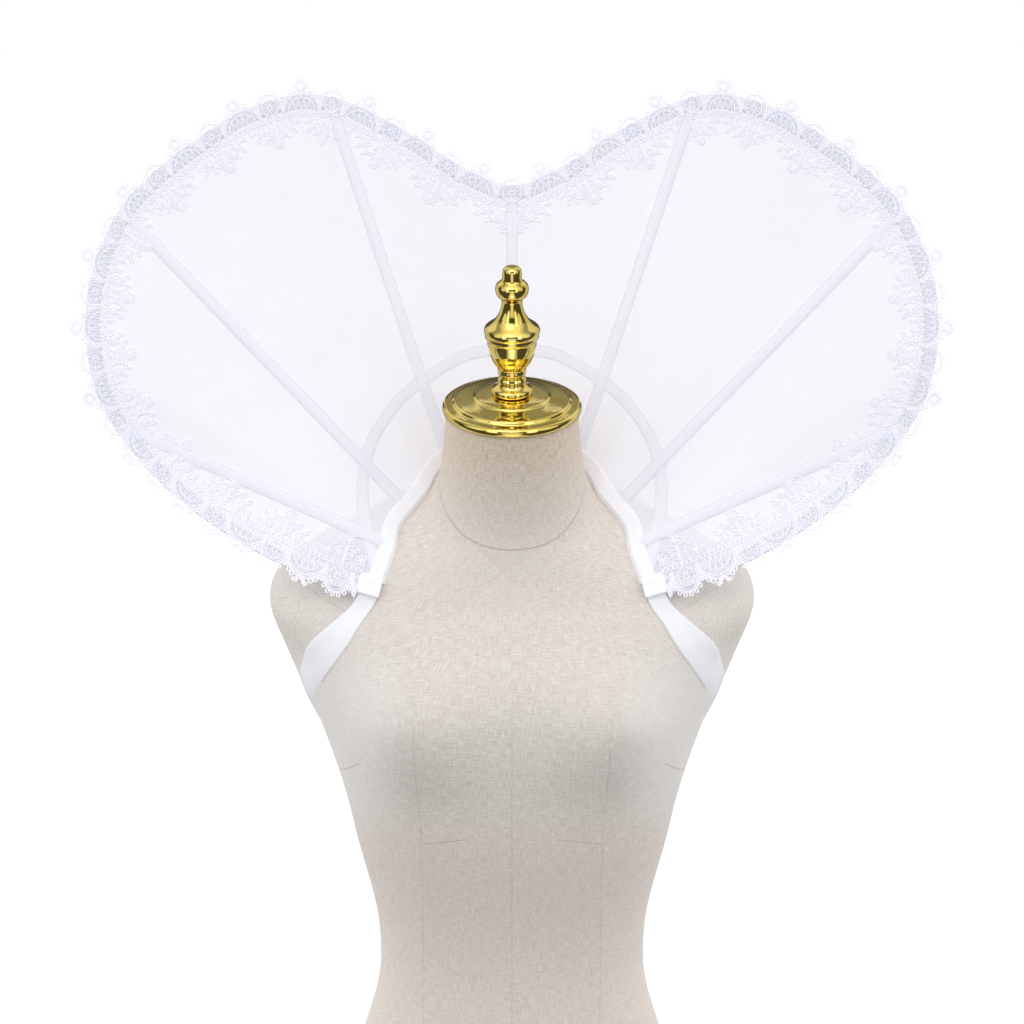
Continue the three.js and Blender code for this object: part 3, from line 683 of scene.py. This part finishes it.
def along_column(column, mirrored):
    start, end = ruled(column, 0), ruled(column, 1)
    low, high = Vector((start.x, start.z)), Vector((end.x, end.z))
    along = (high - low).normalized()
    across = Vector((-along.y, along.x))
    begin = low + along * UNDER_BAND
    reach = (high - low).length - UNDER_BAND - UNDER_LACE

    def lay(distance, offset, height):
        spot = begin + along * distance + across * offset
        away = arc_line.away(Vector((-abs(spot.x), spot.y)))
        lift = OVER_ARC * (1 - min(max((away - 0.006) / 0.007, 0), 1))
        if mirrored:
            spot = Vector((-spot.x, spot.y))
        return on_fan(spot, height + lift * (height > 0.0001))

    return lay, reach


BONES = [
    "centre", "inner_right", "inner_left", "outer_right", "outer_left", "lower_right", "lower_left",
]
for name in BONES:
    column = column_near("bone_" + name.replace("left", "right"))
    lay, reach = along_column(column, name.endswith("left"))
    bone = new_tape("bone_channel_" + name, reach, BONE_WIDTH, lay, BONE_SECTION, ["bone_" + name])

# ---- Neckband and edge binding ---------------------------------------------------------
# A satin bias band finishes the neckline. The fan's edge is bound over a millinery wire, and
# the lace is sewn on top of that binding.

BINDING_WIDTH = 0.013
BINDING_INSET = 0.0002
BINDING_SHORT = 0.012   # from the binding's end to the strap tab's outer edge


def lengths_of(run):
    """The length along a run of points at each twelfth of a column."""
    lengths = [0.0]
    for i in range(LAST_COLUMN * 12):
        step = curve_at(run, (i + 1) / 12) - curve_at(run, i / 12)
        lengths.append(lengths[-1] + step.length)
    return lengths


neck_lengths = lengths_of(neck_run)
edge_lengths = lengths_of(edge_run)


def column_at(lengths, distance):
    """The column's number at a distance along the neckline or the edge."""
    i = next((i for i, length in enumerate(lengths) if length >= distance), len(lengths) - 1)
    if i == 0:
        return 0.0
    span = lengths[i] - lengths[i - 1]
    return (i - 1 + (min(distance, lengths[-1]) - lengths[i - 1]) / span) / 12


def fan_normal(column, share):
    there = ruled(column, share)
    along = ruled(column + 0.05, share) - ruled(column - 0.05 if column > 0.05 else column, share)
    normal = along.cross(ruled(column, min(share + 0.02, 1.02)) - there).normalized()
    return -normal if normal.y > 0 else normal


def along_run(lengths, run, inset, mirrored):
    def lay(distance, offset, height):
        column = column_at(lengths, distance)
        low, high = ruled(column, 0), ruled(column, 1)
        ahead = (curve_at(run, column + 0.05) - curve_at(run, max(column - 0.05, 0))).normalized()
        slant = (high - low).normalized().cross(ahead).length
        share = (inset + offset) / slant / (high - low).length
        if run is edge_run:
            share = 1 - share
        point = ruled(column, share) + fan_normal(column, share) * height
        return Vector((-point.x, point.y, point.z)) if mirrored else point

    return lay


satin, place, (u, v, _) = new_finish("white_satin", "UV")
satin_grain = place.noise((40, 2200, 1), 2.0)
satin_cross = place.noise((600, 90, 1), 2.0)
satin_drape = place.noise((18, 60, 1), 2.0)
close_finish(
    place,
    Base_Color=satin_grain.ramp(0.3, 0.7).mix((0.91, 0.91, 0.955, 1), (0.95, 0.95, 0.985, 1)),
    Roughness=satin_grain * 0.12 + 0.3,
    Sheen_Weight=0.3,
    # Painted light: the satin glows a little, to lift its shade.
    Emission_Color=PAINTED_GLOW,
    Emission_Strength=0.07,
    Normal=place.bump(satin_grain * 0.4 + satin_cross * 0.3 + satin_drape * 5.0, 0.0002),
)

BAND_SECTION = [
    (-1.3, -0.0022), (-1.12, -0.0008), (-1.02, 0.0003), (-1, 0.0008), (-0.9, 0.0012),
    (-0.7, 0.00135), (-0.3, 0.0012), (0.3, 0.0012), (0.7, 0.00125), (0.9, 0.0010), (1, 0.0005),
    (1, 0.00005),
]
BINDING_SECTION = [
    (-1, 0.00005), (-1, 0.0008), (-0.8, 0.0014), (-0.55, 0.0015), (-0.3, 0.0008), (0.3, 0.0005),
    (0.8, 0.0005), (1, 0.0003), (1, 0.00005),
]
binding_tape = woven_tape("binding_tape", 0.06)
for side in ("right", "left"):
    band = new_tape(
        "neckband_" + side + "_satin",
        neck_lengths[-1],
        NECKBAND_WIDTH,
        along_run(neck_lengths, neck_run, NECKBAND_WIDTH / 2, side == "left"),
        BAND_SECTION,
        ["neckband_" + side],
        finish=satin,
    )
    binding = new_tape(
        "edge_binding_" + side + "_tape",
        edge_lengths[-1] - BINDING_SHORT,
        BINDING_WIDTH,
        along_run(edge_lengths, edge_run, BINDING_INSET + BINDING_WIDTH / 2, side == "left"),
        BINDING_SECTION,
        ["edge_binding_" + side],
        long_step=0.004,
        finish=binding_tape,
    )

# ---- Lace border -----------------------------------------------------------------------
# Guipure lace: cotton cords and buttonhole bars with no net behind them, worked in repeats
# of a spoked wheel, an arch with a picot ring, and a flower spray that hangs inwards.

LACE_REPEAT = edge_line.length / 14.307     # so many repeats from the notch to the lower end
LACE_THREAD = 0.00055   # radius of a plain cord
LACE_STEP = 1.15        # millimetres between a cord's points
LACE_OVER_BINDING = 0.0019
LACE_LOW = 0.0006
HALF = LACE_REPEAT / MM / 2                 # half a repeat in millimetres


def ring(u, v, radius, start=0, sweep=360, tall=1.0):
    """A ring or part of one, in millimetres, with its angles from the outward direction."""
    count = max(7, round(math.radians(abs(sweep)) * radius / LACE_STEP))
    turn = [math.radians(start + sweep * i / count) for i in range(count + 1)]
    return [(u + radius * math.sin(a), v + radius * tall * math.cos(a)) for a in turn]


def drawn(*points):
    """A straight-sided line through points, with a step every LACE_STEP."""
    line = [points[0]]
    for (a, b), (c, d) in zip(points, points[1:]):
        count = max(1, round(math.hypot(c - a, d - b) / LACE_STEP))
        line += [(a + (c - a) * i / count, b + (d - b) * i / count) for i in range(1, count + 1)]
    return line


def leaf(u, v, length, width, turn):
    """A leaf from its stem end, with a rib, in a direction given in degrees from outward."""
    a = math.radians(turn)
    along, across = (math.sin(a), math.cos(a)), (math.cos(a), -math.sin(a))
    count = max(5, round(length / LACE_STEP))

    def at(share, side):
        bulge = width / 2 * math.sin(math.pi * share ** 0.8) * side
        return (
            u + along[0] * length * share + across[0] * bulge,
            v + along[1] * length * share + across[1] * bulge,
        )

    one = [at(i / count, 1) for i in range(count + 1)]
    other = [at(1 - i / count, -1) for i in range(count + 1)]
    return one + other[1:]


def wheel_strokes():
    """One wheel with the spray below it and its part of the loops between, as (points, thickness)."""
    v = -7.4
    strokes = [(ring(0, v, 1.9), 1.0), (ring(0, v, 7.2), 1.1)]
    for i in range(10):
        beside, out = math.sin(i * math.pi / 5), math.cos(i * math.pi / 5)
        spoke = drawn((1.9 * beside, v + 1.9 * out), (7.2 * beside, v + 7.2 * out))
        strokes.append((spoke, 0.75))
    strokes += [(ring(0, v, 9.2, -115, 230), 0.9), (ring(0, v, 10.4, -109, 218), 0.8)]
    strokes.append((ring(0, v, 11.7, -106, 212), 1.4))
    for i in range(9):
        a = math.radians(-88 + 22 * i)
        strokes.append((ring(13.4 * math.sin(a), v + 13.4 * math.cos(a), 1.5), 1.3))
    loops = round(2 * HALF / 4.2)
    for i in range(loops):
        strokes.append((ring(-HALF + (i + 0.5) * 2 * HALF / loops, -17.6, 1.9), 0.75))
    strokes += [(drawn((s, -18), (s * 0.4, -33)), 0.8) for s in (-1.1, 0, 1.1)]
    for side in (-1, 1):
        for stem, length, width, turn in ((-22, 9, 3.8, 126), (-27, 9.5, 4.0, 110), (-31.5, 11, 4.0, 96)):
            strokes.append((leaf(0, stem, length, width, side * turn), 0.9))
            a = math.radians(side * turn)
            rib = (math.sin(a) * length * 0.9, stem + math.cos(a) * length * 0.9)
            strokes.append((drawn((0, stem), rib), 0.85))
        for i in range(6):
            strokes.append((leaf(side * 15, -25.2, 4.8, 2.8, i * 60 + 30), 0.9))
        strokes.append((ring(side * 15, -25.2, 1.2), 1.0))
        strokes.append((drawn((side * 15, -18.4), (side * 15, -21.0)), 0.9))
        for foot, length, turn in (((side * 11, -30.5), 6.5, 150), ((side * 19, -28.5), 5.5, 140)):
            strokes.append((leaf(*foot, length, 3.0, side * turn), 0.9))
        strokes.append((ring(side * 22.5, -21.6, 2.4, 0, side * 290), 0.9))
        strokes.append((leaf(side * 25, -19, 6.5, 2.8, side * 175), 0.85))
        strokes.append((drawn((side * 8.5, -18), (side * 6, -24)), 0.8))
    for i in range(7):
        turn = 180 + (i - 3) * 45
        strokes.append((leaf(0, -37.2, 6.2, 3.6, turn), 0.9))
    strokes.append((ring(0, -37.2, 1.6), 1.0))
    return strokes


def arch_strokes():
    """The arch of cords and its picot ring, half way between two wheels."""
    strokes = []
    for wide, tall in ((19.4, 17.0), (18.1, 15.7), (16.7, 14.3), (12.6, 10.2)):
        strokes.append((ring(0, -14, wide, -90, 180, tall / wide), 1.1))
    for i in range(9):
        a = math.radians(-76 + 19 * i)
        strokes.append((ring(14.8 * math.sin(a), -14 + 12.4 * math.cos(a), 1.35), 0.8))
    strokes += [(ring(0, 6.6, 2.6), 1.4), (ring(0, 6.6, 4.2), 1.7)]
    for i in range(7):
        a = math.radians(-96 + 32 * i)
        strokes.append((ring(5.6 * math.sin(a), 6.6 + 5.6 * math.cos(a), 1.3), 1.3))
    for side in (-1, 1):
        strokes.append((ring(side * 8.8, 2.6, 1.7), 1.4))
        strokes.append((ring(side * 12.2, 0.4, 1.7), 1.4))
        strokes.append((ring(side * 15.4, -2.6, 1.7), 1.4))
    bars = []
    for i in range(9):
        across = -10.4 + 2.6 * i
        under_arch = -14 + 10.2 * math.sqrt(max(0, 1 - (across / 12.6) ** 2))
        bars.append((across, -16.4 if i % 2 == 0 else under_arch))
    strokes.append((drawn(*bars), 0.75))
    return strokes


cotton, place, (x, y, z) = new_finish("cotton_lace")
twist = place.noise((1500, 1500, 1500), 2.0)
close_finish(
    place,
    Base_Color=twist.ramp(0.3, 0.7).mix((0.72, 0.72, 0.765, 1), (0.79, 0.79, 0.83, 1)),
    Roughness=twist * 0.2 + 0.65,
    Sheen_Weight=0.2,
    # Painted light: the cords glow, to lift the shade between them.
    Emission_Color=PAINTED_GLOW,
    Emission_Strength=0.28,
    Normal=place.bump(twist, 0.0003),
)


def lace_height(v):
    """Over the binding the lace rides higher than on the bare fan."""
    low, high = -0.0185, -0.0155
    share = min(max((v - low) / (high - low), 0), 1)
    return LACE_LOW + (LACE_OVER_BINDING - LACE_LOW) * share


def lace_spot(d, v):
    if d < 0:
        other = lace_spot(-d, v)
        return Vector((-other.x, other.y))
    return edge_line.at(d) - edge_line.left(d) * v


LACE_OVERHANG = 0.004   # past the end of the fan's edge
LACE_MOTIFS = 30        # wheels and arches in turn, from the notch to the lower end
worked = {"top": [], "side": [], "lower": []}
for number in range(LACE_MOTIFS):
    repeat = number / 2
    part = "top" if repeat < 5.4 else "side" if repeat < 10.4 else "lower"
    for points, thickness in (wheel_strokes() if number % 2 == 0 else arch_strokes()):
        run = []
        for u, v in points:
            d = repeat * LACE_REPEAT + u * MM
            spot = None
            if d < edge_line.length + LACE_OVERHANG:
                spot = on_fan(lace_spot(d, v * MM), lace_height(v * MM))
            if spot is None:
                if len(run) > 1:
                    worked[part].append((run, thickness, number))
                run = []
            else:
                run.append(spot)
        if len(run) > 1:
            worked[part].append((run, thickness, number))

for side in ("right", "left"):
    for part, strokes in worked.items():
        cords = bpy.data.curves.new("lace_" + part + "_" + side, "CURVE")
        cords.dimensions = "3D"
        cords.bevel_depth = LACE_THREAD
        cords.bevel_resolution = 1
        cords.use_fill_caps = True
        for run, thickness, number in strokes:
            if side == "left" and number == 0:
                continue
            spline = cords.splines.new("POLY")
            spline.points.add(len(run) - 1)
            for point, spot in zip(spline.points, run):
                flip = -1 if side == "left" else 1
                point.co = (flip * spot.x, spot.y, spot.z, 1)
                point.radius = thickness
        cords.materials.append(cotton)
        lace = bpy.data.objects.new("guipure_" + part + "_" + side, cords)
        scene.collection.objects.link(lace)
        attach(lace, "root")
        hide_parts("lace_" + part + "_" + side)
        part == "top" and side == "right"    # the centre repeat is on this length

# ---- Armhole straps --------------------------------------------------------------------
# A satin band a side, folded double, goes from the fan's front end round the armhole and up
# the back to the neckband.

STRAP_CLOTH = 0.0008
STRAP_RIM = 0.0008      # from the linen to the strap's shown side at its edges
STRAP_RISE = 0.0019     # and between them, where the cloth is double
STRAP_DOWN = 0.0020     # how much lower the satin lies than the solid strap's shown side
STRAP_BACK = 0.01       # depth past which the strap's edges are those of its solid
INNER_EDGE = [(0.0045, 0.482, 0.024), (0.0080, 0.577, 0.016)]    # (shift inwards, level, reach)
OUTER_EDGE = [(-0.0060, 0.533, 0.014), (0.0060, 0.565, 0.010)]
UNDER_TAB = Vector((0, -0.001, 0.008))      # draws a strap's front end in under its tab


def faces_out(faces):
    return sum(f.normal.dot(Vector((*f.calc_center_median()[:2], 0))) for f in faces) > 0


strap_satin, place, (x, y, z) = new_finish("strap_satin")
strap_grain = place.noise((1300, 1300, 300), 2.0)
strap_drape = place.noise((35, 35, 35), 2.0)
close_finish(
    place,
    Base_Color=strap_grain.ramp(0.3, 0.7).mix((0.91, 0.91, 0.955, 1), (0.95, 0.95, 0.985, 1)),
    Roughness=strap_grain * 0.12 + 0.3,
    Sheen_Weight=0.3,
    # Painted light: the strap glows a little, to lift its shade.
    Emission_Color=PAINTED_GLOW,
    Emission_Strength=0.075,
    Normal=place.bump(strap_grain * 0.4 + strap_drape * 4.0, 0.0003),
)
body = BVHTree.FromObject(torso, bpy.context.evaluated_depsgraph_get())


def edge_shift(waves, level):
    return sum(shift * math.exp(-((level - middle) / reach) ** 2) for shift, middle, reach in waves)


def strap_layer(side):
    """The strap's shown side, eased along its edges and laid close over the linen."""
    bm = cloth_layer("strap_" + side, faces_out)
    border = [v for v in bm.verts if v.is_boundary and len(v.link_edges) > 2]
    inside = [v for v in bm.verts if not v.is_boundary]
    inward = 1 if side == "right" else -1
    for _ in range(3):
        eased = {}
        for v in border:
            ends = [e.other_vert(v) for e in v.link_edges if e.is_boundary]
            eased[v] = (ends[0].co + ends[1].co + 2 * v.co) / 4
        for v, spot in eased.items():
            v.co = spot
    for v in border:
        if v.co.y > STRAP_BACK:
            continue
        strap_middle = 0.139 + (0.545 - v.co.z) * 0.62
        waves = INNER_EDGE if abs(v.co.x) < strap_middle else OUTER_EDGE
        v.co.x += inward * edge_shift(waves, v.co.z)
    for v in bm.verts:
        if v.co.y < 0 and v.co.z > 0.574 and abs(v.co.x) < 0.132:
            v.co += UNDER_TAB
    for _ in range(6):
        bmesh.ops.smooth_vert(
            bm,
            verts=inside,
            factor=0.5,
            use_axis_x=True,
            use_axis_y=True,
            use_axis_z=True,
        )
    for v in bm.verts:
        near, normal, _, gap = body.find_nearest(v.co)
        rise = STRAP_RIM if v.is_boundary else STRAP_RISE
        v.co = near + (v.co - near).normalized() * max(rise, gap - STRAP_DOWN)
    return bm


for side in ("right", "left"):
    bm = strap_layer(side)
    strap = smoothed(new_piece("strap_" + side + "_satin", bm, strap_satin, "strap_" + side), 2)
    wall = strap.modifiers.new("cloth", "SOLIDIFY")
    wall.thickness = STRAP_CLOTH
    wall.offset = -1

# ---- Strap tabs -----------------------------------------------------------------------
# Where a strap meets the neckband, its end is folded over the fan's front corner and sewn
# down as a small square tab.

TAB_MIDDLE = Vector((-0.1213, 0.5838))
TAB_HALF = (0.0098, 0.0080)
TAB_TURN = math.radians(-14)
TAB_OVER_FAN = 0.0030
TAB_PUFF = 0.0010       # how far a tab's middle stands out from its edges
TAB_DEPTH = -0.0590     # its depth where neither fan nor strap is behind it

bm = strap_layer("right")
strap_ground = BVHTree.FromBMesh(bm)
bm.free()


def tab_height(spot):
    """The front of whatever lies at a place in the front view, fan or strap."""
    fan_spot = on_fan(spot, TAB_OVER_FAN)
    strap_hit, _, _, _ = strap_ground.ray_cast(Vector((spot.x, -1, spot.y)), Vector((0, 1, 0)))
    found = [p.y for p in (fan_spot, strap_hit) if p is not None]
    return min(found) if found else None


for side in ("right", "left"):
    bm = bmesh.new()
    cloth_map = bm.loops.layers.uv.new("cloth")
    bmesh.ops.create_grid(bm, x_segments=10, y_segments=12, size=1)
    for face in bm.faces:
        for loop in face.loops:
            loop[cloth_map].uv = (loop.vert.co.x * TAB_HALF[0], loop.vert.co.y * TAB_HALF[1])
    for v in bm.verts:
        a, b = v.co.x * TAB_HALF[0], v.co.y * TAB_HALF[1]
        spot = TAB_MIDDLE + Vector((
            a * math.cos(TAB_TURN) - b * math.sin(TAB_TURN),
            a * math.sin(TAB_TURN) + b * math.cos(TAB_TURN),
        ))
        rim = max(abs(v.co.x), abs(v.co.y)) ** 6
        front = tab_height(spot)
        depth = TAB_DEPTH if front is None else front
        v.co = (spot.x, depth - TAB_PUFF * (1 - rim), spot.y)
    for _ in range(6):
        bmesh.ops.smooth_vert(bm, verts=bm.verts, factor=0.5, use_axis_y=True)
    if side == "left":
        bmesh.ops.scale(bm, vec=(-1, 1, 1), verts=bm.verts)
    bmesh.ops.recalc_face_normals(bm, faces=bm.faces)
    if sum(f.normal.y for f in bm.faces) > 0:
        bmesh.ops.reverse_faces(bm, faces=bm.faces)
    tab = smoothed(new_piece("strap_tab_" + side, bm, satin), 1)
    wall = tab.modifiers.new("cloth", "SOLIDIFY")
    wall.thickness = STRAP_CLOTH
    wall.offset = -1

# ---- Floor and light -------------------------------------------------------------------
# A wide white floor, a large soft light above the front and a weaker one at each side, in a
# bright even surround. Polished metal mirrors windows and white cards in its place.

floor_white, place, (x, y, z) = new_finish("white_floor")
faint = place.noise((2, 2, 2), 2.0)
close_finish(
    place,
    Base_Color=faint.mix((0.78, 0.78, 0.78, 1), (0.80, 0.80, 0.80, 1)),
    Roughness=0.9,
    Emission_Color=(1, 1, 1, 1),
    Emission_Strength=0.45,
)
bm = bmesh.new()
bmesh.ops.create_circle(bm, cap_ends=True, segments=96, radius=60)
mesh = bpy.data.meshes.new("floor")
bm.to_mesh(mesh)
bm.free()
mesh.materials.append(floor_white)
floor = bpy.data.objects.new("floor", mesh)
floor.visible_diffuse = False
floor.visible_glossy = False
scene.collection.objects.link(floor)

surround = bpy.data.worlds.new("surround")
surround.use_nodes = True
tree = surround.node_tree
tree.nodes.clear()
sky = Wire(tree.nodes.new("ShaderNodeTexCoord").outputs["Generated"])
height = sky.node("SeparateXYZ", {}, {0: sky}, 2)
across = sky.node("SeparateXYZ", {}, {0: sky}, 0)
deep = sky.node("SeparateXYZ", {}, {0: sky}, 1)
beside = abs(across).ramp(0.35, 1.0) * height.ramp(-0.3, 0.5, 0.0, 0.50)
cloth_light = height.ramp(-1.0, 1.0, 0.36, 0.84) + deep.ramp(-0.5, 0.6) * 0.40 + beside
turn = abs(across.maths("ARCTAN2", across, deep * -1.0))
windows = abs(turn - 0.55).ramp(0.10, 0.20, 1.5, 0.0) * abs(height - 0.25).ramp(0.35, 0.5, 1.0, 0.0)
overhead = height.ramp(0.42, 0.62) * turn.ramp(0.7, 1.7, 1.1, 0.24)
edges = abs(turn - 2.2).ramp(0.25, 0.45, 0.55, 0.0)
front_card = turn.ramp(0.20, 0.36, 0.85, 0.0) * abs(height + 0.40).ramp(0.45, 0.62, 1.0, 0.0)
low_card = abs(across).ramp(0.22, 0.40, 0.75, 0.0) * height.ramp(-0.74, -0.62, 1.0, 0.0)
behind_card = abs(across).ramp(0.0135, 0.0150, 0.8, 0.0) * deep.ramp(0, 0.2)
behind_card = behind_card * abs(height - 0.662).ramp(0.018, 0.021, 1.0, 0.0)
brass_light = windows + overhead + edges + front_card + low_card + behind_card + 0.08
glossy = sky.node("LightPath", {}, {}, 3)
seen = sky.node("LightPath", {}, {}, 0)
strength = cloth_light + glossy * (brass_light - cloth_light)
strength = strength.maths("MAXIMUM", strength, seen)
backing = sky.node("Background", {}, {"Color": (1, 1, 1, 1), "Strength": strength})
sky.node("OutputWorld", {}, {"Surface": backing})
scene.world = surround
scene.view_settings.view_transform = "Standard"


def soft_light(name, spot, aim, size, watts):
    data = bpy.data.lights.new(name, "AREA")
    data.shape = "DISK"
    data.size = size
    data.energy = watts
    lamp = bpy.data.objects.new(name, data)
    lamp.location = spot
    lamp.rotation_euler = (Vector(aim) - Vector(spot)).to_track_quat("-Z", "Y").to_euler()
    scene.collection.objects.link(lamp)


soft_light("key", (-0.4, -2.0, 3.0), (0, 0, 0.6), 1.8, 11)
soft_light("fill right", (2.1, -1.3, 1.5), (0, 0, 0.5), 1.6, 5)
soft_light("fill left", (-2.1, -1.3, 1.5), (0, 0, 0.5), 1.6, 5)
